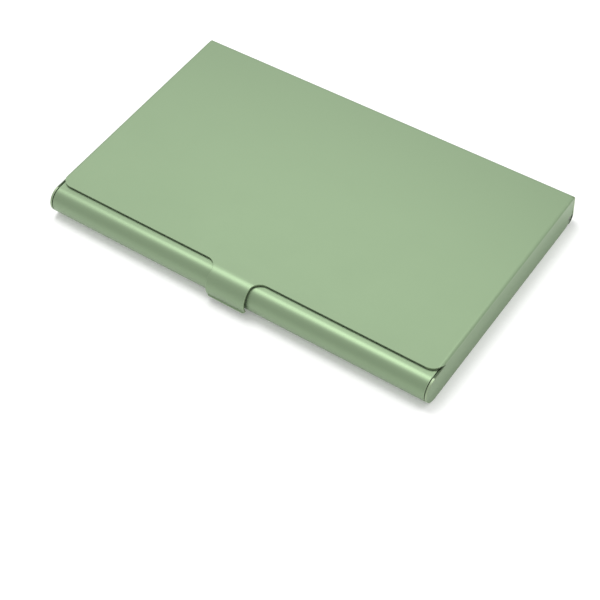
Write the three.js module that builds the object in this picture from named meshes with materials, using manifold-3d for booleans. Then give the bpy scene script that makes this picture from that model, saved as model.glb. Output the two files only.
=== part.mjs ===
// Slim aluminium business card case: a bent-sheet base with a rolled front edge,
// a bent-sheet lid with side walls and a latch tab, and two hinge pins.
// Millimetres. X runs along the length, Y from the latch (front) to the hinge (rear), Z up.
// The origin is under the middle of the closed case, on the surface it lies on.

import * as THREE from 'three';
import { mergeVertices } from 'three/addons/utils/BufferGeometryUtils.js';
import Module from 'manifold-3d';

const wasm = await Module();
wasm.setup();

// ---- driving dimensions ----

const LENGTH = 95;              // over the lid's side walls
const DEPTH = 58;               // front of the roll to the back of the rear wall
const HEIGHT = 7;               // closed, from the table to the top of the lid
const SHEET = 0.45;             // sheet thickness of lid and base

const LID_FRONT_SETBACK = 4.15; // front of the roll to the lid's front edge
const LID_BEND = 0.55;          // outside radius of the lid's side and rear bends
const LID_CORNER = 2.8;         // plan radius of the lid's two front corners
const LID_CLEARANCE = 0.15;     // lid's underside to the roll and to the side wall's front end
const WALL_LIFT = 0.1;          // the lid's side walls stop this far above the table

const TAB_WIDTH = 9.6;          // latch tab
const TAB_CORNER = 0.6;         // rounding of the lip's two corners
const TAB_FILLET = 2.6;         // plan fillet where the tab leaves the lid's front edge
const TAB_GAP = 0.45;           // inside of the tab to the front of the roll
const TAB_WRAP_DEG = 21;        // how far the tab reaches below its widest point
const TAB_LIP = 0.38;           // length of the outward lip
const TAB_LIP_DEG = 38;         // the lip's slope away from straight down
const TAB_LIP_BEND = 0.35;      // centre-line radius where the lip turns out

const REAR_CURL = 1.8;          // outside radius of the rear wall's turned-in bottom edge
const REAR_CORNER = 2.8;        // radius of the side walls' rear bottom corners
const CORNER_SEAM = 0.2;        // seam between a side wall and the rear wall

const SIDE_GAP = 0.18;          // lid's side wall to the base
const ROLL_LIP = 4.5;           // flat return of the roll, behind its centre line
const BASE_WALL = 5.5;          // top of the base's side walls
const BASE_WALL_START = 2.2;    // front end of those walls, behind the roll's centre line
const BASE_BEND = 0.7;          // outside radius of the base's side bends
const CURL_CLEARANCE = 0.2;     // base to the swinging rear curl

const PIN_RADIUS = 0.5;         // hinge pin shank
const PIN_FIT = 0.08;           // radial clearance of the pin in both walls
const PIN_HEAD_RADIUS = 1.0;    // formed head on the inside
const PIN_HEAD = 0.35;          // its thickness
const PIN_HEAD_GAP = 0.04;      // head to the base's wall
const EYE_CLEARANCE = 0.15;     // hinge eye to the inside of the rear curl

const ARC_STEPS = 20;           // facets in a half turn

// ---- positions that follow from them ----

const halfLength = LENGTH / 2;
const rearY = (DEPTH + TAB_GAP + SHEET) / 2;
const rollFrontY = rearY - DEPTH;
const underLid = HEIGHT - SHEET;
const rollRadius = (underLid - LID_CLEARANCE) / 2;
const rollY = rollFrontY + rollRadius;
const lidFrontY = rollFrontY + LID_FRONT_SETBACK;
const hingeY = rearY - REAR_CURL;
const hingeZ = REAR_CURL;
const wallInsideX = halfLength - SHEET;
const baseHalf = wallInsideX - SIDE_GAP;
const baseWallX = baseHalf - SHEET;
const baseRearY = hingeY - REAR_CURL - CURL_CLEARANCE;
const eyeRadius = REAR_CURL - SHEET - EYE_CLEARANCE;
const holeRadius = PIN_RADIUS + PIN_FIT;

// ---- outlines and solids ----

const rad = THREE.MathUtils.degToRad;

// Points of an arc from one angle to another, in degrees, both ends included.
function arc(cx, cy, radius, fromDeg, toDeg) {
  const steps = Math.max(2, Math.round((Math.abs(toDeg - fromDeg) / 180) * ARC_STEPS));
  return Array.from({ length: steps + 1 }, (_, i) => {
    const a = rad(fromDeg + ((toDeg - fromDeg) * i) / steps);
    return new THREE.Vector2(cx + radius * Math.cos(a), cy + radius * Math.sin(a));
  });
}

const at = (x, y) => new THREE.Vector2(x, y);

// The outline of a strip of sheet that follows a centre line, cut square at both ends.
function sheetOutline(centreLine) {
  const line = centreLine.filter((p, i) => i === 0 || p.distanceTo(centreLine[i - 1]) > 1e-6);
  const left = [];
  const right = [];
  line.forEach((point, i) => {
    const before = i > 0 ? point.clone().sub(line[i - 1]).normalize() : null;
    const after = i < line.length - 1 ? line[i + 1].clone().sub(point).normalize() : null;
    const tangent = (before ?? after).clone().add(after ?? before).normalize();
    const normal = new THREE.Vector2(-tangent.y, tangent.x);
    const mitre = SHEET / 2 / (before ?? after).dot(tangent);
    left.push(point.clone().addScaledVector(normal, mitre));
    right.unshift(point.clone().addScaledVector(normal, -mitre));
  });
  return new THREE.Shape([...left, ...right]);
}

function toManifold(geometry) {
  geometry.deleteAttribute('normal');
  geometry.deleteAttribute('uv');
  const merged = mergeVertices(geometry, 1e-5);
  return new wasm.Manifold(new wasm.Mesh({
    numProp: 3,
    vertProperties: new Float32Array(merged.attributes.position.array),
    triVerts: new Uint32Array(merged.index.array),
  }));
}

const extrusion = (shape, depth) => new THREE.ExtrudeGeometry(shape, {
  depth, bevelEnabled: false, steps: 1, curveSegments: ARC_STEPS,
});

// A shape drawn in (Y, Z), run along X.
function alongX(shape, fromX, toX) {
  const turn = new THREE.Matrix4().makeBasis(
    new THREE.Vector3(0, 1, 0), new THREE.Vector3(0, 0, 1), new THREE.Vector3(1, 0, 0));
  return toManifold(extrusion(shape, toX - fromX).applyMatrix4(turn).translate(fromX, 0, 0));
}

// A shape drawn in (X, Z), run along Y.
function alongY(shape, fromY, toY) {
  const turn = new THREE.Matrix4().makeBasis(
    new THREE.Vector3(1, 0, 0), new THREE.Vector3(0, 0, 1), new THREE.Vector3(0, -1, 0));
  return toManifold(extrusion(shape, toY - fromY).applyMatrix4(turn).translate(0, toY, 0));
}

// A shape drawn in (X, Y), standing on the table and taller than the case.
function upright(shape) {
  return toManifold(extrusion(shape, HEIGHT + 2).translate(0, 0, -1));
}

function roundX(radius, y, z, fromX, toX) {
  return alongX(new THREE.Shape(arc(y, z, radius, 0, 360).slice(0, -1)), fromX, toX);
}

function toGeometry(solid) {
  const mesh = solid.getMesh();
  const geometry = new THREE.BufferGeometry();
  geometry.setAttribute('position', new THREE.BufferAttribute(mesh.vertProperties, 3));
  geometry.setIndex(new THREE.BufferAttribute(mesh.triVerts, 1));
  geometry.computeVertexNormals();
  return geometry;
}

// ---- lid: top plate, side walls, rear wall with a turned-in edge, latch tab ----

// Channel section across the case: plate and both side walls, as one bent sheet.
function lidChannel() {
  const middle = LID_BEND - SHEET / 2;
  const x = halfLength - SHEET / 2;
  const z = HEIGHT - SHEET / 2;
  return sheetOutline([
    at(-x, -1),
    ...arc(-x + middle, z - middle, middle, 180, 90),
    ...arc(x - middle, z - middle, middle, 90, 0),
    at(x, -1),
  ]);
}

// The solid block whose rounded top edges are the outside of that channel.
function lidBlock() {
  return new THREE.Shape([
    at(-halfLength, -1),
    at(halfLength, -1),
    ...arc(halfLength - LID_BEND, HEIGHT - LID_BEND, LID_BEND, 0, 90),
    ...arc(-halfLength + LID_BEND, HEIGHT - LID_BEND, LID_BEND, 90, 180),
  ]);
}

// Lengthways section: plate, rear bend, rear wall and the quarter curl round the hinge line.
function lidRearSection() {
  const middle = LID_BEND - SHEET / 2;
  const y = rearY - SHEET / 2;
  const z = HEIGHT - SHEET / 2;
  return sheetOutline([
    at(lidFrontY, z),
    ...arc(y - middle, z - middle, middle, 90, 0),
    ...arc(hingeY, hingeZ, REAR_CURL - SHEET / 2, 0, -90),
  ]);
}

// Side wall seen from the side: round front end beside the roll, round rear bottom corner,
// and a step under the plate's front corner where the bend stops.
function sideWallOutline() {
  const bottom = WALL_LIFT;
  const endRadius = (underLid - LID_CLEARANCE - bottom) / 2;
  const back = rearY - SHEET - CORNER_SEAM;
  return new THREE.Shape([
    at(back, HEIGHT + 1),
    at(lidFrontY + LID_CORNER, HEIGHT + 1),
    at(lidFrontY + LID_CORNER, underLid - LID_CLEARANCE),
    ...arc(rollFrontY + endRadius, bottom + endRadius, endRadius, 90, 270),
    ...arc(back - REAR_CORNER, bottom + REAR_CORNER, REAR_CORNER, -90, 0),
  ]);
}

// Plan of the plate, with its rounded front corners.
function platePlan() {
  return new THREE.Shape([
    at(halfLength, rearY + 1),
    at(-halfLength, rearY + 1),
    ...arc(-halfLength + LID_CORNER, lidFrontY + LID_CORNER, LID_CORNER, 180, 270),
    ...arc(halfLength - LID_CORNER, lidFrontY + LID_CORNER, LID_CORNER, 270, 360),
  ]);
}

// Plan kept for the channel: the plate's own plan, and a strip at each side for the walls' ends.
function channelPlan() {
  const inner = wallInsideX - LID_BEND;
  const start = lidFrontY + LID_CORNER;
  const front = rollFrontY - 1;
  return new THREE.Shape([
    at(halfLength + 1, rearY + 1), at(-halfLength - 1, rearY + 1),
    at(-halfLength - 1, front), at(-inner, front), at(-inner, start),
    at(inner, start), at(inner, front), at(halfLength + 1, front),
  ]);
}

// Plan of the tab, with a fillet at each root.
function tabPlan() {
  const half = TAB_WIDTH / 2;
  const wide = half + TAB_FILLET;
  const front = rollFrontY - 3;
  return new THREE.Shape([
    at(wide, lidFrontY + 1),
    at(-wide, lidFrontY + 1),
    ...arc(-wide, lidFrontY - TAB_FILLET, TAB_FILLET, 90, 0),
    at(-half, front),
    at(half, front),
    ...arc(wide, lidFrontY - TAB_FILLET, TAB_FILLET, 180, 90),
  ]);
}

// The tab seen from the front, with the lip's corners rounded.
function tabFront(tipZ) {
  const half = TAB_WIDTH / 2;
  const wide = half + TAB_FILLET;
  return new THREE.Shape([
    at(wide, HEIGHT + 1),
    at(-wide, HEIGHT + 1),
    at(-wide, underLid - TAB_FILLET),
    at(-half, underLid - TAB_FILLET),
    ...arc(-half + TAB_CORNER, tipZ + TAB_CORNER, TAB_CORNER, 180, 270),
    ...arc(half - TAB_CORNER, tipZ + TAB_CORNER, TAB_CORNER, 270, 360),
    at(half, underLid - TAB_FILLET),
    at(wide, underLid - TAB_FILLET),
  ]);
}

// Lengthways section of the tab: over the roll, in under it, then out in a short lip.
function tabSection() {
  const middle = (underLid - LID_CLEARANCE) / 2 + 0.2 + SHEET / 2;
  const centreY = rollFrontY - TAB_GAP - SHEET / 2 + middle;
  const centreZ = HEIGHT - SHEET / 2 - middle;
  const wrapEnd = 180 + TAB_WRAP_DEG;
  const hug = arc(centreY, centreZ, middle, 90, wrapEnd);
  const lipStart = hug[hug.length - 1];
  const out = at(Math.cos(rad(wrapEnd)), Math.sin(rad(wrapEnd)));
  const bendCentre = lipStart.clone().addScaledVector(out, TAB_LIP_BEND);
  const bend = arc(bendCentre.x, bendCentre.y, TAB_LIP_BEND, TAB_WRAP_DEG, -TAB_LIP_DEG);
  const tip = bend[bend.length - 1].clone().add(
    at(-Math.sin(rad(TAB_LIP_DEG)), -Math.cos(rad(TAB_LIP_DEG))).multiplyScalar(TAB_LIP));
  return sheetOutline([at(lidFrontY + 1, HEIGHT - SHEET / 2), ...hug, ...bend, tip]);
}

function lidShell() {
  const block = alongY(lidBlock(), rollFrontY - 1, rearY + 1);
  const plateAndRear = alongX(lidRearSection(), -halfLength, halfLength)
    .intersect(block)
    .intersect(upright(platePlan()));
  const sideWalls = alongY(lidChannel(), rollFrontY - 1, rearY)
    .intersect(alongX(sideWallOutline(), -halfLength - 1, halfLength + 1))
    .intersect(upright(channelPlan()));
  const tabStrip = alongX(tabSection(), -halfLength, halfLength).intersect(upright(tabPlan()));
  const tab = tabStrip.intersect(
    alongY(tabFront(tabStrip.boundingBox().min[2]), rollFrontY - 3, rearY));
  const shell = sideWalls.add(plateAndRear).add(tab);
  return shell.subtract(roundX(holeRadius, hingeY, hingeZ, -halfLength - 1, halfLength + 1));
}

// ---- base: floor, rolled front edge, low side walls with the hinge eyes ----

function baseSection() {
  const middle = rollRadius - SHEET / 2;
  return sheetOutline([
    at(baseRearY, SHEET / 2),
    ...arc(rollY, rollRadius, middle, 270, 90),
    at(rollY + ROLL_LIP, rollRadius + middle),
  ]);
}

function baseChannel() {
  const middle = BASE_BEND - SHEET / 2;
  const x = baseHalf - SHEET / 2;
  const z = SHEET / 2;
  return sheetOutline([
    at(-x, HEIGHT),
    ...arc(-x + middle, z + middle, middle, 180, 270),
    ...arc(x - middle, z + middle, middle, 270, 360),
    at(x, HEIGHT),
  ]);
}

// Base side wall seen from the side, with the eye that carries the pin and the relief
// under it that lets the lid's rear curl swing round.
function baseWallOutline() {
  const start = rollY + BASE_WALL_START;
  const neck = hingeZ + CURL_CLEARANCE;
  const neckDeg = 180 - THREE.MathUtils.radToDeg(Math.asin(CURL_CLEARANCE / eyeRadius));
  return new THREE.Shape([
    at(start, -1),
    at(baseRearY, -1),
    at(baseRearY, neck),
    ...arc(hingeY, hingeZ, eyeRadius, neckDeg, 360),
    at(hingeY + eyeRadius, BASE_WALL - 1),
    ...arc(hingeY + eyeRadius - 1, BASE_WALL - 1, 1, 0, 90),
    ...arc(start + 1, BASE_WALL - 1, 1, 90, 180),
  ]);
}

function baseShell() {
  const wallStart = rollY + BASE_WALL_START;
  const floorAndRoll = alongX(baseSection(), -baseHalf, baseHalf);
  const walls = alongY(baseChannel(), rollY, rearY)
    .intersect(alongX(baseWallOutline(), -halfLength, halfLength));
  // The floor's long side edges follow the bends of the walls.
  const rounding = alongY(new THREE.Shape([
    at(-baseHalf, HEIGHT),
    ...arc(-baseHalf + BASE_BEND, BASE_BEND, BASE_BEND, 180, 270),
    ...arc(baseHalf - BASE_BEND, BASE_BEND, BASE_BEND, 270, 360),
    at(baseHalf, HEIGHT),
  ]), rollY, rearY);
  const front = alongX(new THREE.Shape([
    at(rollFrontY - 1, -1), at(wallStart, -1),
    at(wallStart, HEIGHT), at(rollFrontY - 1, HEIGHT)]), -baseHalf, baseHalf);
  const trimmed = floorAndRoll.intersect(rounding.add(front));
  return trimmed.add(walls)
    .subtract(roundX(holeRadius, hingeY, hingeZ, -halfLength - 1, halfLength + 1));
}

// ---- hinge pins: a shank through both walls and a formed head on the inside ----

function hingePin() {
  const head = baseWallX - PIN_HEAD_GAP;
  const profile = [
    at(0, head - PIN_HEAD),
    at(PIN_HEAD_RADIUS * 0.7, head - PIN_HEAD),
    at(PIN_HEAD_RADIUS, head - PIN_HEAD * 0.5),
    at(PIN_HEAD_RADIUS, head),
    at(PIN_RADIUS, head),
    at(PIN_RADIUS, halfLength - 0.12),
    at(PIN_RADIUS - 0.1, halfLength - 0.02),
    at(0, halfLength - 0.02),
  ];
  return new THREE.LatheGeometry(profile, 2 * ARC_STEPS).rotateZ(-Math.PI / 2);
}

// ---- assembly ----

const anodised = new THREE.MeshStandardMaterial({ color: 0x9bb893, roughness: 0.42, metalness: 0.85 });
const steel = new THREE.MeshStandardMaterial({ color: 0xb4b6b4, roughness: 0.3, metalness: 1 });

function piece(name, geometry, material) {
  const mesh = new THREE.Mesh(geometry, material);
  mesh.name = name;
  return mesh;
}

const cardCase = new THREE.Group();
cardCase.add(piece('base_shell', toGeometry(baseShell()), anodised));
cardCase.add(piece('lid_shell', toGeometry(lidShell()), anodised));

for (const [name, turn] of [['hinge_pin_right', 0], ['hinge_pin_left', Math.PI]]) {
  const pin = piece(name, hingePin(), steel);
  pin.position.set(0, hingeY, hingeZ);
  pin.rotation.z = turn;
  cardCase.add(pin);
}

export default cardCase;
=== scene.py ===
"""A slim business card case bent from two sheets of anodised aluminium, on a studio stage."""

import math

import bmesh
import bpy
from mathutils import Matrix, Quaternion, Vector


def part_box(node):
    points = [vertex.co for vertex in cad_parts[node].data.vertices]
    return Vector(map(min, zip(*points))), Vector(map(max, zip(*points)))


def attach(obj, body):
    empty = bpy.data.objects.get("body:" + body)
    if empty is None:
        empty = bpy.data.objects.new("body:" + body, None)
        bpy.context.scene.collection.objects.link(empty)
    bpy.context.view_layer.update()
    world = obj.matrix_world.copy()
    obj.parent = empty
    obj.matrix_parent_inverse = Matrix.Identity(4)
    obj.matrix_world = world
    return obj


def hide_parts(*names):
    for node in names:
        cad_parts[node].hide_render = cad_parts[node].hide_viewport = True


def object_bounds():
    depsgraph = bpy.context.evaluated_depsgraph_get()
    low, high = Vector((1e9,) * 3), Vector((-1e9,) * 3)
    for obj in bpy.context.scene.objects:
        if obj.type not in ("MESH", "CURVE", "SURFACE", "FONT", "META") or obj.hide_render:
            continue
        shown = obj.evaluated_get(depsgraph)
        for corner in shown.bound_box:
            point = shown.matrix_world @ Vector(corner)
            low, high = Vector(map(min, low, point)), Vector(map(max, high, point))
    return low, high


bl_info = {
    "name": "Aluminium business card case",
    "version": (1, 0, 0),
    "blender": (4, 5, 0),
    "location": "3D Viewport > Sidebar > Card Case",
    "description": "Bends a card case from two aluminium sheets and sets it on a studio stage",
    "category": "Add Mesh",
}

MM = 0.001

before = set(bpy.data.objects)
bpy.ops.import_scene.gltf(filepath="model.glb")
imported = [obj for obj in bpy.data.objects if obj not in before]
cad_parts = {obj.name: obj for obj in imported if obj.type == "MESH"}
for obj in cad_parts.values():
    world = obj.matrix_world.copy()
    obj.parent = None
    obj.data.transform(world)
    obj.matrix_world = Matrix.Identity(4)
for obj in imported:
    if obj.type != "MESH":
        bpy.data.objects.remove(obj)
CAD_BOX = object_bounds()
LID_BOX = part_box("lid_shell")
BASE_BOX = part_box("base_shell")
PIN_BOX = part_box("hinge_pin_right")

HALF_LENGTH = LID_BOX[1].x
HEIGHT = LID_BOX[1].z
REAR = LID_BOX[1].y
ROLL_FRONT = BASE_BOX[0].y
BASE_HALF = BASE_BOX[1].x
HINGE_Y = (PIN_BOX[0].y + PIN_BOX[1].y) / 2
HINGE_Z = (PIN_BOX[0].z + PIN_BOX[1].z) / 2

UP = Vector((0, 0, 1))
WHITE = (1.0, 1.0, 1.0, 1.0)

# angles of a folded edge, from its first row to its last
FOLD_TURNS = [math.radians(a) for a in range(0, 91, 9)]

# rows of sheet in the other bends
CURL_STEP = math.radians(6)
CURL_ROWS = 16
ROLL_STEP = 3
ROLL_ROWS = 61
WRAP_STEPS = 38
LIP_BEND_STEPS = 8
LIP_STEPS = 4
BEVEL_STEPS = 3

# degrees between points round a hole, an eye, and the rounded top of a wall
HOLE_STEP = 12
EYE_STEP = 8
CORNER_STEP = 10

# the relief at the end of a fold, in depths of the notch: along the fold and across it
RELIEF_LENGTH = 1.8
RELIEF_REACH = 0.6

# the step under the lid's front corners, in depths of the notch: its flat and its slope's end
STEP_FLAT = 5
STEP_END = 7

# a pin's outline: easing of its outer end, and the small roundings round its head
PIN_EASE = 0.1 * MM
PIN_ROUNDING = 0.04 * MM
PIN_FILLET = 0.03 * MM
PIN_STEPS = 48
PIN_TURN = 15

# sizes and depths of the textures
PATCH_SIZE = 9 * MM
HANDLING_SIZE = 16 * MM
BLAST_GRAIN = 0.11 * MM
BLAST_DEPTH = 0.0025 * MM
PIT_SIZE = 0.34 * MM
PIT_DEPTH = 0.003 * MM
TURNING_PITCH = 0.07 * MM
TURNING_DEPTH = 0.0012 * MM
DRAWN_WIDTH = 0.06 * MM
DRAWN_DEPTH = 0.002 * MM
STAIN_SIZE = 0.5 * MM
TABLE_MOTTLE = 30 * MM
TABLE_TOOTH = 0.6 * MM
TABLE_TOOTH_DEPTH = 0.01 * MM

TABLE_HALF_SIDE = 2.5
TABLE_GAP = 0.02 * MM
SENSOR_WIDTH = 36.0
NEAREST = 0.01
FURTHEST = 20.0


# ---- settings ----


def length(name, description, millimetres):
    """A distance property whose default is given in millimetres."""
    return bpy.props.FloatProperty(
        name=name,
        description=description,
        default=millimetres * MM,
        min=0.0,
        soft_max=0.1,
        precision=5,
        subtype="DISTANCE",
        unit="LENGTH",
    )


def angle(name, description, degrees):
    """An angle property whose default is given in degrees."""
    return bpy.props.FloatProperty(
        name=name,
        description=description,
        default=math.radians(degrees),
        subtype="ANGLE",
        unit="ROTATION",
    )


def tint(name, description, colour):
    """A colour property."""
    return bpy.props.FloatVectorProperty(
        name=name,
        description=description,
        default=colour,
        min=0.0,
        max=1.0,
        size=3,
        subtype="COLOR",
    )


def share(name, description, amount, most=1.0):
    """A plain number property from zero up."""
    return bpy.props.FloatProperty(
        name=name,
        description=description,
        default=amount,
        min=0.0,
        soft_max=most,
    )


class CardCaseSizes(bpy.types.PropertyGroup):
    """Sizes of the bent sheets and the hinge pins."""

    sheet: length("Sheet thickness", "Thickness of both sheets", 0.45)
    lid_bend: length("Lid bend", "Outside radius of the lid's side and rear bends", 0.55)
    base_bend: length("Base bend", "Outside radius of the base's side bends", 0.7)
    edge_rounding: length("Edge rounding", "Rounding of the cut edges", 0.09)
    lid_setback: length("Lid setback", "Front of the roll to the lid's front edge", 4.15)
    lid_corner: length("Lid corner", "Radius of the lid's front corners", 2.8)
    lid_clearance: length("Lid clearance", "Underside of the lid to the roll", 0.15)
    wall_lift: length("Wall lift", "Bottom of the lid's side walls to the table", 0.1)
    relief: length("Relief depth", "Depth of the relief notch at the end of a side bend", 0.05)
    tab_width: length("Tab width", "Width of the latch tab", 9.6)
    tab_corner: length("Tab corner", "Rounding of the lip's two corners", 0.6)
    tab_fillet: length("Tab fillet", "Radius where the tab leaves the lid's front edge", 2.6)
    tab_gap: length("Tab gap", "Inside of the tab to the front of the roll", 0.45)
    tab_crown: length("Tab crown", "Extra radius of the tab over the roll's own", 0.2)
    tab_wrap: angle("Tab wrap", "How far the tab reaches below its widest point", 21)
    lip_length: length("Lip length", "Length of the tab's outward lip", 0.29)
    lip_slope: angle("Lip slope", "Slope of the lip away from straight down", 48)
    lip_bend: length("Lip bend", "Radius in the middle of the sheet where the lip turns out", 0.3)
    rear_corner: length("Rear corner", "Radius of the side walls' rear bottom corners", 2.8)
    curl_gap: length("Curl gap", "Side wall's rounded corner to the rear wall", 0.32)
    corner_seam: length("Corner seam", "Side wall to the rear wall above that corner", 0.06)
    roll_return: length("Roll return", "Flat return of the roll behind its centre line", 4.5)
    base_wall: length("Base wall height", "Top of the base's side walls", 5.5)
    base_wall_start: length("Base wall start", "Those walls' front end behind the roll's centre", 2.2)
    base_relief: length("Base relief", "Notch between the roll and the base's side bends", 0.2)
    curl_clearance: length("Curl clearance", "Base to the swinging rear curl", 0.2)
    eye_clearance: length("Eye clearance", "Hinge eye to the inside of the rear curl", 0.15)
    pin_radius: length("Pin radius", "Radius of the hinge pins' shanks", 0.5)
    pin_fit: length("Pin fit", "Clearance of a pin in its holes", 0.08)
    pin_head: length("Pin head", "Thickness of a pin's formed head", 0.35)


class CardCaseFinish(bpy.types.PropertyGroup):
    """Colours of the metals and the table."""

    dye: tint("Anodised dye", "Sage green of the anodised sheet", (0.206, 0.297, 0.169))
    dye_light: tint("Light patches", "Slightly paler patches in the dye", (0.22, 0.31, 0.18))
    formed: tint("Formed dye", "Paler green where the sheet is bent", (0.212, 0.304, 0.174))
    # paler edges: partly wear, partly a painted highlight along the rounded edges
    edge: tint("Worn, highlighted edge", "Paler green along the rounded edges", (0.34, 0.43, 0.27))
    # painted shade: a near-black colour put on the inside of the rear curl
    grime: tint("Curl shadow", "Dark grime inside the rear curl", (0.012, 0.014, 0.01))
    steel: tint("Pin steel", "Dulled steel of the hinge pins", (0.22, 0.25, 0.2))
    table: tint("Table", "White table top", (0.9, 0.9, 0.9))
    light_table: share("Light table", "Faint glow of the lit table top", 0.12)
    satin: share("Satin", "Roughness of the blasted flats", 0.565)
    burnish: share("Burnish", "How much smoother the bends and the roll are", 0.133)
    metal: share("Metal", "How metallic the dyed surface looks", 0.795)
    oxide: share("Clear oxide", "Strength of the clear oxide layer over the dye", 0.55)
    oxide_satin: share("Oxide satin", "Roughness of the clear oxide layer", 0.559)


class CardCaseStage(bpy.types.PropertyGroup):
    """Camera and lights."""

    camera_place: bpy.props.FloatVectorProperty(
        name="Camera position",
        description="Where the camera stands",
        default=(0.133587, -0.168893, 0.234657),
        size=3,
        precision=5,
        subtype="TRANSLATION",
        unit="LENGTH",
    )
    camera_aim: bpy.props.FloatVectorProperty(
        name="Camera aim",
        description="The point in the middle of the view",
        default=(0.013259, -0.021556, 0.0035),
        size=3,
        precision=5,
        subtype="TRANSLATION",
        unit="LENGTH",
    )
    camera_roll: angle("Camera roll", "Tilt of the camera about its own axis", -5.42)
    camera_lens: bpy.props.FloatProperty(
        name="Focal length",
        description="Focal length on a 36 mm sensor, in millimetres",
        default=89.38,
        min=10.0,
        subtype="DISTANCE_CAMERA",
    )
    room: share("Room brightness", "Brightness of the white room around the table", 0.811, 5.0)
    softbox_glow: share("Softbox brightness", "Brightness of the softbox's face", 6.700, 50.0)
    softbox_direction: bpy.props.FloatVectorProperty(
        name="Softbox direction",
        description="Direction from the case to the softbox",
        default=(-0.28, 0.16, 0.9),
        size=3,
        subtype="DIRECTION",
    )
    softbox_distance: length("Softbox distance", "Case to softbox", 800)
    softbox_size: length("Softbox size", "Side of the square softbox", 371)
    fill_glow: share("Fill brightness", "Brightness of the fill light's face", 1.3, 50.0)
    fill_direction: bpy.props.FloatVectorProperty(
        name="Fill direction",
        description="Direction from the case to the fill light",
        default=(0.4, 0.45, 0.6),
        size=3,
        subtype="DIRECTION",
    )
    fill_size: length("Fill size", "Side of the square fill light", 400)


# ---- bent sheets ----


def arc(u, v, radius, start, end, step=4.0):
    """Points of an arc from one angle to another, in degrees, both ends included."""
    count = max(2, math.ceil(abs(end - start) / step))
    turns = [math.radians(start + (end - start) * i / count) for i in range(count + 1)]
    return [(u + radius * math.cos(a), v + radius * math.sin(a)) for a in turns]


class BentSheet:
    """A bent sheet, drawn halfway through its thickness and then thickened."""

    def __init__(self):
        self.places = []
        self.normals = []
        self.known = {}
        self.faces = []
        self.formed = set()
        self.hidden = set()

    def point(self, place, normal):
        """The number of a point, shared by every panel and bend that meets there."""
        key = tuple(round(c * 1e6) for c in place)
        if key not in self.known:
            self.known[key] = len(self.places)
            self.places.append(Vector(place))
            self.normals.append(Vector(normal).normalized())
        return self.known[key]

    def panel(self, outline, normal):
        """A flat panel inside a closed outline."""
        self.add_face([self.point(place, normal) for place in outline])

    def bend(self, rows, formed=True, pocket=False):
        """A curved run of sheet through rows of (place, normal) pairs.

        The inside of a pocket gets painted shade.
        """
        numbered = [[self.point(place, normal) for place, normal in row] for row in rows]
        if pocket:
            for row in numbered[1:]:
                self.hidden.update(row)
        if formed:
            for row in numbered:
                self.formed.update(row)
        for row, following in zip(numbered, numbered[1:]):
            for i in range(len(row) - 1):
                self.add_face([row[i], row[i + 1], following[i + 1], following[i]])

    def add_face(self, corners):
        """A face that looks the way its points' normals do."""
        corners = [c for i, c in enumerate(corners) if c != corners[i - 1]]
        places = [self.places[c] for c in corners]
        turned = Vector()
        for i, place in enumerate(places):
            turned += (places[i - 1] - places[0]).cross(place - places[0])
        outward = sum((self.normals[c] for c in corners), Vector())
        if turned.dot(outward) < 0:
            corners.reverse()
        self.faces.append(corners)

    def solid(self, name, thickness, rounding):
        """The sheet as a closed mesh with rounded cut edges."""
        shape = bmesh.new()
        burnish = shape.verts.layers.float.new("burnish")
        wear_and_highlight = shape.verts.layers.float.new("edge_wear_and_highlight")
        grime = shape.verts.layers.float.new("grime")
        outside = []
        inside = []
        for i, (place, normal) in enumerate(zip(self.places, self.normals)):
            for side, skin in ((0.5, outside), (-0.5, inside)):
                corner = shape.verts.new(place + normal * thickness * side)
                corner[burnish] = 1.0 if i in self.formed else 0.0
                # points inside the rear curl are marked for painted shade
                corner[grime] = 1.0 if side < 0 and i in self.hidden else 0.0
                skin.append(corner)
        runs = set()
        for corners in self.faces:
            shape.faces.new([outside[c] for c in corners])
            shape.faces.new([inside[c] for c in reversed(corners)])
            runs.update((corners[i - 1], c) for i, c in enumerate(corners))
        cut = []
        for start, end in sorted(runs):
            if (end, start) in runs:
                continue
            rim = shape.faces.new((outside[end], outside[start], inside[start], inside[end]))
            rim.material_index = 1
            cut.append(shape.edges.get((outside[start], outside[end])))
            cut.append(shape.edges.get((inside[start], inside[end])))
        bmesh.ops.bevel(
            shape,
            geom=cut,
            offset=rounding,
            offset_type="OFFSET",
            segments=BEVEL_STEPS,
            profile=0.5,
            affect="EDGES",
            clamp_overlap=False,
            material=2,
        )
        bmesh.ops.dissolve_degenerate(shape, edges=shape.edges[:], dist=1e-8)
        for corner in shape.verts:  # keeps the bevels of the corners inside the case's box
            corner.co.z = min(corner.co.z, HEIGHT)
            corner.co.y = min(corner.co.y, REAR)
        # points on the edge roundings are marked for the paler edges, which are part wear, part
        # painted highlight
        for face in shape.faces:
            if face.material_index > 0:
                for corner in face.verts:
                    if all(f.material_index > 0 for f in corner.link_faces):
                        corner[wear_and_highlight] = 1.0
        for face in shape.faces:
            face.material_index = 0
            face.smooth = True
        return finished(shape, name)


def finished(shape, name):
    """A mesh object from a bmesh, with shading that keeps its flats flat."""
    shape.normal_update()
    mesh = bpy.data.meshes.new(name)
    shape.to_mesh(mesh)
    shape.free()
    piece = bpy.data.objects.new(name, mesh)
    bpy.context.scene.collection.objects.link(piece)
    flats = piece.modifiers.new("Flat panels", "WEIGHTED_NORMAL")
    flats.mode = "FACE_AREA"
    flats.weight = 100
    return piece


def both_sides(points):
    """Points of the right half of a symmetrical outline, and then the left half's, in order."""
    mirrored = [(-x, y, z) for x, y, z in reversed(points)]
    return list(points) + mirrored


def across(half_width, y, z, normal):
    """A row of sheet from the left edge to the right."""
    return [((x, y, z), normal) for x in (-half_width, half_width)]


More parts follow.
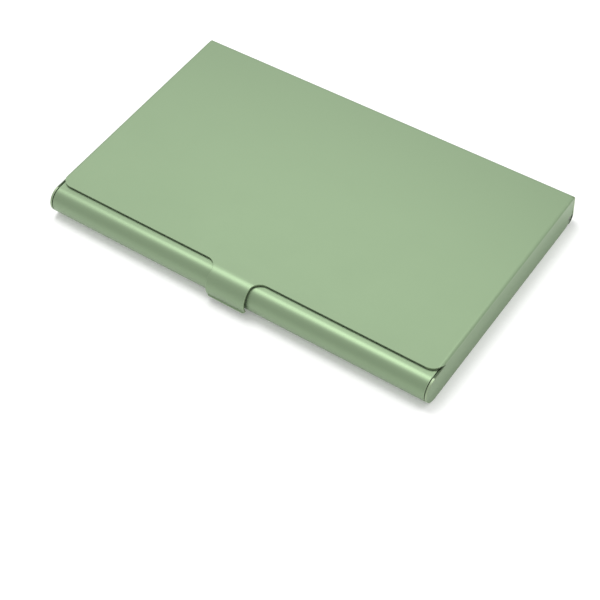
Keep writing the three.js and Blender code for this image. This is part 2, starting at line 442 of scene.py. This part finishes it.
def wall_with_hole(sheet, x, side, front, lower_arc, upper, hole):
    """A flat side wall with a hinge hole, split under and behind the hole.

    front runs to the split under the hole, lower_arc runs from there to the split behind it,
    and upper runs from there back to the start, all as (y, z) points.
    """
    long_way = arc(HINGE_Y, HINGE_Z, hole, -90, -360, HOLE_STEP)
    short_way = arc(HINGE_Y, HINGE_Z, hole, 0, -90, HOLE_STEP)
    for outline in (front + long_way + upper, lower_arc + short_way):
        sheet.panel([(side * x, y, z) for y, z in outline], (side, 0, 0))


def lid_sheet(sizes):
    """Plate, side walls, rear wall with its turned-in edge, and latch tab."""
    sheet = BentSheet()
    half = sizes.sheet / 2
    middle = sizes.lid_bend - half
    inner = sizes.lid_bend - sizes.sheet
    flat_x = HALF_LENGTH - sizes.lid_bend
    rear_y = REAR - sizes.lid_bend
    top = HEIGHT - half
    wall_top = HEIGHT - sizes.lid_bend
    front_y = ROLL_FRONT + sizes.lid_setback
    corner_y = front_y + sizes.lid_corner
    corner_x = HALF_LENGTH - sizes.lid_corner
    roll_top = HEIGHT - sizes.sheet - sizes.lid_clearance

    # latch tab: centre and radius of its wrap round the roll
    wrap = roll_top / 2 + sizes.tab_crown + half
    wrap_y = ROLL_FRONT - sizes.tab_gap - half + wrap
    wrap_z = top - wrap
    tab_half = sizes.tab_width / 2
    fillet_x = tab_half + sizes.tab_fillet
    fillet_y = front_y - sizes.tab_fillet

    def tab_reach(y):
        """Half the tab's width at a distance from the front."""
        rise = max(0.0, y - fillet_y)
        return fillet_x - math.sqrt(sizes.tab_fillet**2 - rise**2)

    # plate
    root = math.degrees(math.asin((wrap_y - fillet_y) / sizes.tab_fillet))
    turn = math.degrees(math.acos((flat_x - corner_x) / sizes.lid_corner))
    right = arc(fillet_x, fillet_y, sizes.tab_fillet, 180 - root, 90)
    right += arc(corner_x, corner_y, sizes.lid_corner, -90, -turn)
    right.append((flat_x, rear_y - RELIEF_LENGTH * sizes.relief))
    right.append((flat_x - RELIEF_REACH * sizes.relief, rear_y))
    sheet.panel(both_sides([(x, y, top) for x, y in right]), UP)

    # side bends and side walls
    bottom = sizes.wall_lift
    ear = (roll_top - bottom) / 2
    back = REAR - sizes.sheet - sizes.curl_gap
    tight_back = rear_y + inner - sizes.corner_seam
    corner = sizes.rear_corner
    below = math.degrees(math.acos((HINGE_Y - back + corner) / corner))
    behind = math.degrees(math.asin((bottom + corner - HINGE_Z) / corner))
    round_y = back - corner
    round_z = bottom + corner
    notch = wall_top - sizes.relief
    front = [
        (corner_y, wall_top),
        (corner_y, notch),
        (corner_y - STEP_FLAT * sizes.relief, notch),
        (corner_y - STEP_END * sizes.relief, roll_top),
    ]
    front += arc(ROLL_FRONT + ear, bottom + ear, ear, 90, 270)
    front += arc(round_y, round_z, corner, -90, -below)
    upper = arc(round_y, round_z, corner, -behind, 0)
    upper.append((back, round_z + sizes.curl_gap))
    upper.append((tight_back, round_z + 2.5 * sizes.curl_gap))
    upper.append((tight_back, wall_top))
    lower_arc = arc(round_y, round_z, corner, -below, -behind)
    for side in (-1, 1):
        rows = []
        for a in FOLD_TURNS:
            reach = flat_x + sizes.lid_bend * math.sin(a) - corner_x
            starts = corner_y - math.sqrt(max(0.0, sizes.lid_corner**2 - reach**2))
            ends = rear_y + (inner - sizes.corner_seam) * math.sin(a)
            ends -= RELIEF_LENGTH * sizes.relief * (1 - math.sin(a))
            x = side * (flat_x + middle * math.sin(a))
            z = wall_top + middle * math.cos(a)
            normal = (side * math.sin(a), 0, math.cos(a))
            rows.append([((x, starts, z), normal), ((x, ends, z), normal)])
        sheet.bend(rows)
        wall_with_hole(
            sheet,
            HALF_LENGTH - half,
            side,
            front,
            lower_arc,
            upper,
            sizes.pin_radius + sizes.pin_fit,
        )

    # rear bend, rear wall and its quarter curl
    rows = []
    for a in FOLD_TURNS:
        y = rear_y + middle * math.sin(a)
        z = wall_top + middle * math.cos(a)
        reach = flat_x + sizes.lid_bend * math.sin(a)
        reach -= RELIEF_REACH * sizes.relief * (1 - math.sin(a))
        rows.append(across(reach, y, z, (0, math.sin(a), math.cos(a))))
    sheet.bend(rows)
    curl = HINGE_Z - half
    curl_rows = []
    for i in range(CURL_ROWS):
        a = -CURL_STEP * i
        y = HINGE_Y + curl * math.cos(a)
        z = HINGE_Z + curl * math.sin(a)
        curl_rows.append(across(HALF_LENGTH, y, z, (0, math.cos(a), math.sin(a))))
    sheet.bend([rows[-1], curl_rows[0]], formed=False)
    # the inside of this curl gets painted shade
    sheet.bend(curl_rows, pocket=True)

    # tab: over the roll, in under it, and out in a short lip with rounded corners
    rows = []
    wrap_end = math.pi / 2 + sizes.tab_wrap
    for i in range(WRAP_STEPS + 1):
        a = wrap_end * i / WRAP_STEPS
        y = wrap_y - wrap * math.sin(a)
        z = wrap_z + wrap * math.cos(a)
        rows.append(across(tab_reach(y), y, z, (0, -math.sin(a), math.cos(a))))
    lip_y = y - sizes.lip_bend * math.cos(sizes.tab_wrap)
    lip_z = z - sizes.lip_bend * math.sin(sizes.tab_wrap)
    lip = []
    for i in range(1, LIP_BEND_STEPS + 1):
        a = sizes.tab_wrap - (sizes.tab_wrap + sizes.lip_slope) * i / LIP_BEND_STEPS
        y = lip_y + sizes.lip_bend * math.cos(a)
        z = lip_z + sizes.lip_bend * math.sin(a)
        lip.append((y, z, (0, -math.cos(a), -math.sin(a))))
    normal = lip[-1][2]
    for i in range(1, LIP_STEPS + 1):
        reach = sizes.lip_length * math.sin(math.pi / 2 * i / LIP_STEPS)
        forward = reach * math.sin(sizes.lip_slope)
        down = reach * math.cos(sizes.lip_slope)
        lip.append((y - forward, z - down, normal))
    tip = lip[-1][1]
    for y, z, normal in lip:
        depth = max(0.0, tip + sizes.tab_corner - z)
        inset = sizes.tab_corner - math.sqrt(max(0.0, sizes.tab_corner**2 - depth**2))
        rows.append(across(tab_half - min(inset, 0.8 * sizes.tab_corner), y, z, normal))
    sheet.bend(rows)
    return sheet


def base_sheet(sizes):
    """Floor, rolled front edge, and low side walls with the hinge eyes."""
    sheet = BentSheet()
    half = sizes.sheet / 2
    middle = sizes.base_bend - half
    flat_x = BASE_HALF - sizes.base_bend
    roll = (HEIGHT - sizes.sheet - sizes.lid_clearance) / 2
    roll_y = ROLL_FRONT + roll
    starts = roll_y + sizes.base_wall_start
    ends = HINGE_Y - HINGE_Z - sizes.curl_clearance

    # floor
    right = [
        (BASE_HALF, roll_y, half),
        (BASE_HALF, starts - sizes.base_relief, half),
        (flat_x, starts - sizes.base_relief, half),
        (flat_x, starts, half),
        (flat_x, ends, half),
    ]
    sheet.panel(both_sides(right), -UP)

    # roll and its flat return
    rows = []
    for i in range(ROLL_ROWS):
        a = math.radians(270 - ROLL_STEP * i)
        y = roll_y + (roll - half) * math.cos(a)
        z = roll + (roll - half) * math.sin(a)
        rows.append(across(BASE_HALF, y, z, (0, math.cos(a), math.sin(a))))
    sheet.bend(rows)
    behind = across(BASE_HALF, roll_y + sizes.roll_return, 2 * roll - half, UP)
    sheet.bend([rows[-1], behind], formed=False)

    # side bends and side walls with the hinge eyes
    eye = HINGE_Z - sizes.sheet - sizes.eye_clearance
    neck = HINGE_Z + sizes.curl_clearance
    neck_turn = 180 - math.degrees(math.asin(sizes.curl_clearance / eye))
    top = sizes.base_wall
    round_top = MM
    rear_y = HINGE_Y + eye
    front = [(starts, sizes.base_bend), (ends, sizes.base_bend), (ends, neck)]
    front += arc(HINGE_Y, HINGE_Z, eye, neck_turn, 270, EYE_STEP)
    upper = [(rear_y, HINGE_Z)]
    upper += arc(rear_y - round_top, top - round_top, round_top, 0, 90, CORNER_STEP)
    upper += arc(starts + round_top, top - round_top, round_top, 90, 180, CORNER_STEP)
    lower_arc = arc(HINGE_Y, HINGE_Z, eye, 270, 360, EYE_STEP)
    for side in (-1, 1):
        rows = []
        for a in FOLD_TURNS:
            x = side * (flat_x + middle * math.sin(a))
            z = sizes.base_bend - middle * math.cos(a)
            normal = (side * math.sin(a), 0, -math.cos(a))
            rows.append([((x, starts, z), normal), ((x, ends, z), normal)])
        sheet.bend(rows)
        wall_with_hole(
            sheet,
            BASE_HALF - half,
            side,
            front,
            lower_arc,
            upper,
            sizes.pin_radius + sizes.pin_fit,
        )
    return sheet


def turned_pin(name, side, sizes):
    """A hinge pin turned about the hinge line: domed head inside, shank, eased outer end."""
    inner = PIN_BOX[0].x
    outer = PIN_BOX[1].x
    head = (PIN_BOX[1].z - PIN_BOX[0].z) / 2
    shank = sizes.pin_radius
    under_head = inner + sizes.pin_head
    dome = sizes.pin_head * 0.6
    profile = [(inner, 0.12 * head)]
    for a in range(PIN_TURN, 91, PIN_TURN):
        turn = math.radians(a)
        profile.append((inner + dome * (1 - math.cos(turn)), head * math.sin(turn)))
    profile.append((under_head - PIN_ROUNDING, head))
    profile.append((under_head, head - PIN_ROUNDING))
    profile.append((under_head, shank + PIN_FILLET))
    profile.append((under_head + PIN_FILLET, shank))
    for a in range(0, 91, PIN_TURN):
        turn = math.radians(a)
        x = outer - PIN_EASE * (1 - math.sin(turn))
        profile.append((x, shank - PIN_EASE * (1 - math.cos(turn))))
    profile.append((outer, shank * 0.3))
    shape = bmesh.new()
    rings = []
    for x, radius in profile:
        ring = []
        for i in range(PIN_STEPS):
            a = 2 * math.pi * i / PIN_STEPS
            y = HINGE_Y + radius * math.cos(a)
            z = HINGE_Z + radius * math.sin(a)
            ring.append(shape.verts.new((side * x, y, z)))
        rings.append(ring)
    for ring, following in zip(rings, rings[1:]):
        for i in range(PIN_STEPS):
            shape.faces.new((ring[i - 1], ring[i], following[i], following[i - 1]))
    shape.faces.new(rings[0])
    shape.faces.new(rings[-1])
    bmesh.ops.remove_doubles(shape, verts=shape.verts[:], dist=1e-7)
    bmesh.ops.recalc_face_normals(shape, faces=shape.faces[:])
    for face in shape.faces:
        face.smooth = True
    return finished(shape, name)


# ---- materials ----


class Value:
    """A shader socket that takes part in ordinary arithmetic."""

    def __init__(self, shader, socket):
        self.shader = shader
        self.socket = socket

    def maths(self, operation, first, second):
        node = self.shader.node("ShaderNodeMath", {"operation": operation}, {0: first, 1: second})
        return node("Value")

    def __add__(self, other):
        return self.maths("ADD", self, other)

    def __radd__(self, other):
        return self.maths("ADD", other, self)

    def __sub__(self, other):
        return self.maths("SUBTRACT", self, other)

    def __rsub__(self, other):
        return self.maths("SUBTRACT", other, self)

    def __mul__(self, other):
        return self.maths("MULTIPLY", self, other)

    def __rmul__(self, other):
        return self.maths("MULTIPLY", other, self)


class Shader:
    """A material under construction."""

    def __init__(self, name):
        self.material = bpy.data.materials.new(name)
        self.material.use_nodes = True
        self.tree = self.material.node_tree
        self.tree.nodes.clear()

    def node(self, kind, settings=None, sockets=None):
        """Adds a node and returns a function that gives its outputs by name or number."""
        node = self.tree.nodes.new(kind)
        for name, value in (settings or {}).items():
            setattr(node, name, value)
        for name, value in (sockets or {}).items():
            if isinstance(value, Value):
                self.tree.links.new(value.socket, node.inputs[name])
            else:
                node.inputs[name].default_value = value
        return lambda output: Value(self, node.outputs[output])

    def place(self):
        """The piece's own coordinates, in metres."""
        return self.node("ShaderNodeTexCoord")("Object")

    def noise(self, grain, detail=2.0, stretch=None):
        """Soft noise whose grains are this large, from 0 to 1."""
        where = self.place()
        if stretch:
            mapping = self.node("ShaderNodeMapping", {}, {"Vector": where, "Scale": stretch})
            where = mapping("Vector")
        sockets = {"Vector": where, "Scale": 1.0 / grain, "Detail": detail, "Roughness": 0.5}
        return self.node("ShaderNodeTexNoise", {}, sockets)("Fac")

    def attribute(self, name):
        """A number stored on the mesh."""
        settings = {"attribute_type": "GEOMETRY", "attribute_name": name}
        return self.node("ShaderNodeAttribute", settings)("Fac")

    def mix(self, factor, first, second):
        """One colour turning into another."""
        settings = {"data_type": "RGBA", "clamp_factor": True}
        sockets = {0: factor, 6: opaque(first), 7: opaque(second)}
        return self.node("ShaderNodeMix", settings, sockets)(2)

    def bump(self, height, depth, strength=1.0, under=None):
        """A normal that follows a height of this depth, over another bump if one is given."""
        sockets = {"Height": height, "Distance": depth, "Strength": strength}
        if under is not None:
            sockets["Normal"] = under
        return self.node("ShaderNodeBump", {}, sockets)("Normal")

    def surface(self, sockets):
        """Finishes the material with a principled surface."""
        shaded = self.node("ShaderNodeBsdfPrincipled", {}, sockets)
        self.node("ShaderNodeOutputMaterial", {}, {"Surface": shaded("BSDF")})
        return self.material


def opaque(colour):
    """A colour with full alpha, or a socket as it is."""
    return colour if isinstance(colour, Value) else (*colour, 1.0)


def anodised_sheet(name, finish):
    """Satin anodised aluminium: blasted grain, patchy dye, smoother bends, painted shade in the curl.
    """
    shader = Shader(name)
    patches = shader.noise(PATCH_SIZE, 3.0)
    handling = shader.noise(HANDLING_SIZE, 2.0, (1.0, 1.6, 1.0))
    blasted = shader.noise(BLAST_GRAIN)
    pits = shader.noise(PIT_SIZE, 3.0)
    burnish = shader.attribute("burnish")
    wear_and_highlight = shader.attribute("edge_wear_and_highlight")
    dyed = shader.mix(patches, finish.dye, finish.dye_light)
    dyed = shader.mix(burnish, dyed, finish.formed)
    # rounded edges made paler: partly wear, partly painted highlight
    colour = shader.mix(wear_and_highlight * 0.6, dyed, finish.edge)
    # painted shade: the inside of the rear curl darkened almost to black
    colour = shader.mix(shader.attribute("grime") * 0.95, colour, finish.grime)
    uneven = 0.05 * handling + 0.04 * pits - 0.045
    roughness = finish.satin + uneven - finish.burnish * burnish - 0.05 * wear_and_highlight
    normal = shader.bump(pits, PIT_DEPTH, 0.5)
    normal = shader.bump(blasted, BLAST_DEPTH, 0.6, normal)
    return shader.surface(
        {
            "Base Color": colour,
            "Metallic": finish.metal,
            "Roughness": roughness,
            "Normal": normal,
            "Coat Weight": finish.oxide,
            "Coat Roughness": finish.oxide_satin,
            "Coat IOR": 1.6,
        }
    )


def turned_steel(finish):
    """Dulled steel with fine turning rings on the faces and drawn lines along the shank."""
    shader = Shader("turned_steel")
    centre = (0.0, HINGE_Y, HINGE_Z)
    settings = {"operation": "SUBTRACT"}
    offset = shader.node("ShaderNodeVectorMath", settings, {0: shader.place(), 1: centre})
    flat = shader.node(
        "ShaderNodeVectorMath",
        {"operation": "MULTIPLY"},
        {0: offset("Vector"), 1: (0.0, 1.0, 1.0)},
    )
    radius = shader.node("ShaderNodeVectorMath", {"operation": "LENGTH"}, {0: flat("Vector")})
    turns = radius("Value") * (2 * math.pi / TURNING_PITCH)
    rings = shader.node("ShaderNodeMath", {"operation": "SINE"}, {0: turns})("Value")
    drawn = shader.noise(DRAWN_WIDTH, 2.0, (0.15, 1.0, 1.0))
    stain = shader.noise(STAIN_SIZE)
    colour = shader.mix(stain * 0.5, finish.steel, tuple(c * 0.72 for c in finish.steel))
    normal = shader.bump(rings, TURNING_DEPTH, 0.5)
    normal = shader.bump(drawn, DRAWN_DEPTH, 0.4, normal)
    return shader.surface(
        {
            "Base Color": colour,
            "Metallic": 1.0,
            "Roughness": 0.36 + 0.14 * drawn,
            "Normal": normal,
        }
    )


def table_top(finish):
    """Smooth white table top with a barely visible grain."""
    shader = Shader("white_table")
    mottle = shader.noise(TABLE_MOTTLE)
    tooth = shader.noise(TABLE_TOOTH)
    shade = tuple(c * 0.985 for c in finish.table)
    return shader.surface(
        {
            "Base Color": shader.mix(mottle, finish.table, shade),
            "Roughness": 0.6 + 0.1 * mottle,
            "Normal": shader.bump(tooth, TABLE_TOOTH_DEPTH, 0.2),
            "Emission Color": WHITE,
            "Emission Strength": finish.light_table,
        }
    )


# ---- operators ----


def settings(context):
    """The three groups of settings."""
    scene = context.scene
    return scene.card_case_sizes, scene.card_case_finish, scene.card_case_stage


def dress(piece, material, body, node):
    """Gives a piece its metal and its body, and hides the CAD node that it stands for."""
    piece.data.materials.append(material)
    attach(piece, body)
    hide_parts(node)


class CARDCASE_OT_base(bpy.types.Operator):
    """Bends the base: floor, rolled front edge and low side walls with hinge eyes"""

    bl_idname = "cardcase.base"
    bl_label = "Bend the base"

    def execute(self, context):
        sizes, finish, _ = settings(context)
        base = base_sheet(sizes).solid("base_tray", sizes.sheet, sizes.edge_rounding)
        dress(base, anodised_sheet("anodised_base", finish), "base", "base_shell")
        return {"FINISHED"}


class CARDCASE_OT_lid(bpy.types.Operator):
    """Bends the lid: plate, side walls, curled rear wall and latch tab"""

    bl_idname = "cardcase.lid"
    bl_label = "Bend the lid"

    def execute(self, context):
        sizes, finish, _ = settings(context)
        lid = lid_sheet(sizes).solid("lid_cover", sizes.sheet, sizes.edge_rounding)
        dress(lid, anodised_sheet("anodised_lid", finish), "lid", "lid_shell")
        return {"FINISHED"}


class CARDCASE_OT_pins(bpy.types.Operator):
    """Turns the two hinge pins and rivets them in the base's eyes"""

    bl_idname = "cardcase.pins"
    bl_label = "Turn the hinge pins"

    def execute(self, context):
        sizes, finish, _ = settings(context)
        steel = turned_steel(finish)
        for name, side in (("right", 1), ("left", -1)):
            pin = turned_pin("pin_" + name, side, sizes)
            dress(pin, steel, "base", "hinge_pin_" + name)
        return {"FINISHED"}


class CARDCASE_OT_stage(bpy.types.Operator):
    """Sets the white table, the room's light, the softbox, the fill light and the camera"""

    bl_idname = "cardcase.stage"
    bl_label = "Set the stage"

    def execute(self, context):
        _, finish, stage = settings(context)
        scene = context.scene
        shape = bmesh.new()
        bmesh.ops.create_grid(shape, x_segments=1, y_segments=1, size=TABLE_HALF_SIDE)
        drop = (0, 0, CAD_BOX[0].z - TABLE_GAP)
        bmesh.ops.translate(shape, verts=shape.verts[:], vec=drop)
        mesh = bpy.data.meshes.new("table")
        shape.to_mesh(mesh)
        shape.free()
        table = bpy.data.objects.new("table", mesh)
        table.data.materials.append(table_top(finish))
        scene.collection.objects.link(table)

        world = bpy.data.worlds.new("white_room")
        world.use_nodes = True
        glow = world.node_tree.nodes["Background"]
        glow.inputs["Color"].default_value = WHITE
        glow.inputs["Strength"].default_value = stage.room
        scene.world = world

        for name, glow, direction, size in (
            ("softbox", stage.softbox_glow, stage.softbox_direction, stage.softbox_size),
            ("fill", stage.fill_glow, stage.fill_direction, stage.fill_size),
        ):
            light = bpy.data.lights.new(name, "AREA")
            light.shape = "SQUARE"
            light.size = size
            light.energy = glow * math.pi * size**2
            lamp = bpy.data.objects.new(name, light)
            towards = Vector(direction).normalized()
            lamp.location = towards * stage.softbox_distance
            lamp.rotation_mode = "QUATERNION"
            lamp.rotation_quaternion = towards.to_track_quat("Z", "Y")
            scene.collection.objects.link(lamp)

        lens = bpy.data.cameras.new("camera")
        lens.lens = stage.camera_lens
        lens.sensor_width = SENSOR_WIDTH
        lens.clip_start = NEAREST
        lens.clip_end = FURTHEST
        camera = bpy.data.objects.new("camera", lens)
        place = Vector(stage.camera_place)
        aim = Vector(stage.camera_aim) - place
        camera.location = place
        camera.rotation_mode = "QUATERNION"
        upright = aim.to_track_quat("-Z", "Y")
        camera.rotation_quaternion = upright @ Quaternion((0, 0, 1), stage.camera_roll)
        scene.collection.objects.link(camera)
        scene.camera = camera
        scene.view_settings.view_transform = "Standard"
        return {"FINISHED"}


class CARDCASE_PT_panel(bpy.types.Panel):
    """Sidebar panel with the case's operators and settings"""

    bl_idname = "CARDCASE_PT_panel"
    bl_label = "Card Case"
    bl_space_type = "VIEW_3D"
    bl_region_type = "UI"
    bl_category = "Card Case"

    def draw(self, context):
        column = self.layout.column()
        for operator in OPERATORS:
            column.operator(operator.bl_idname)
        for group in settings(context):
            box = self.layout.box()
            for name in group.__annotations__:
                box.prop(group, name)


OPERATORS = (CARDCASE_OT_base, CARDCASE_OT_lid, CARDCASE_OT_pins, CARDCASE_OT_stage)
GROUPS = {
    "card_case_sizes": CardCaseSizes,
    "card_case_finish": CardCaseFinish,
    "card_case_stage": CardCaseStage,
}


def register():
    for name, group in GROUPS.items():
        bpy.utils.register_class(group)
        setattr(bpy.types.Scene, name, bpy.props.PointerProperty(type=group))
    for operator in OPERATORS:
        bpy.utils.register_class(operator)
    bpy.utils.register_class(CARDCASE_PT_panel)


def unregister():
    bpy.utils.unregister_class(CARDCASE_PT_panel)
    for operator in reversed(OPERATORS):
        bpy.utils.unregister_class(operator)
    for name, group in GROUPS.items():
        delattr(bpy.types.Scene, name)
        bpy.utils.unregister_class(group)


def main():
    register()
    bpy.ops.cardcase.base()
    bpy.ops.cardcase.lid()
    bpy.ops.cardcase.pins()
    bpy.ops.cardcase.stage()


if __name__ == "__main__":
    main()
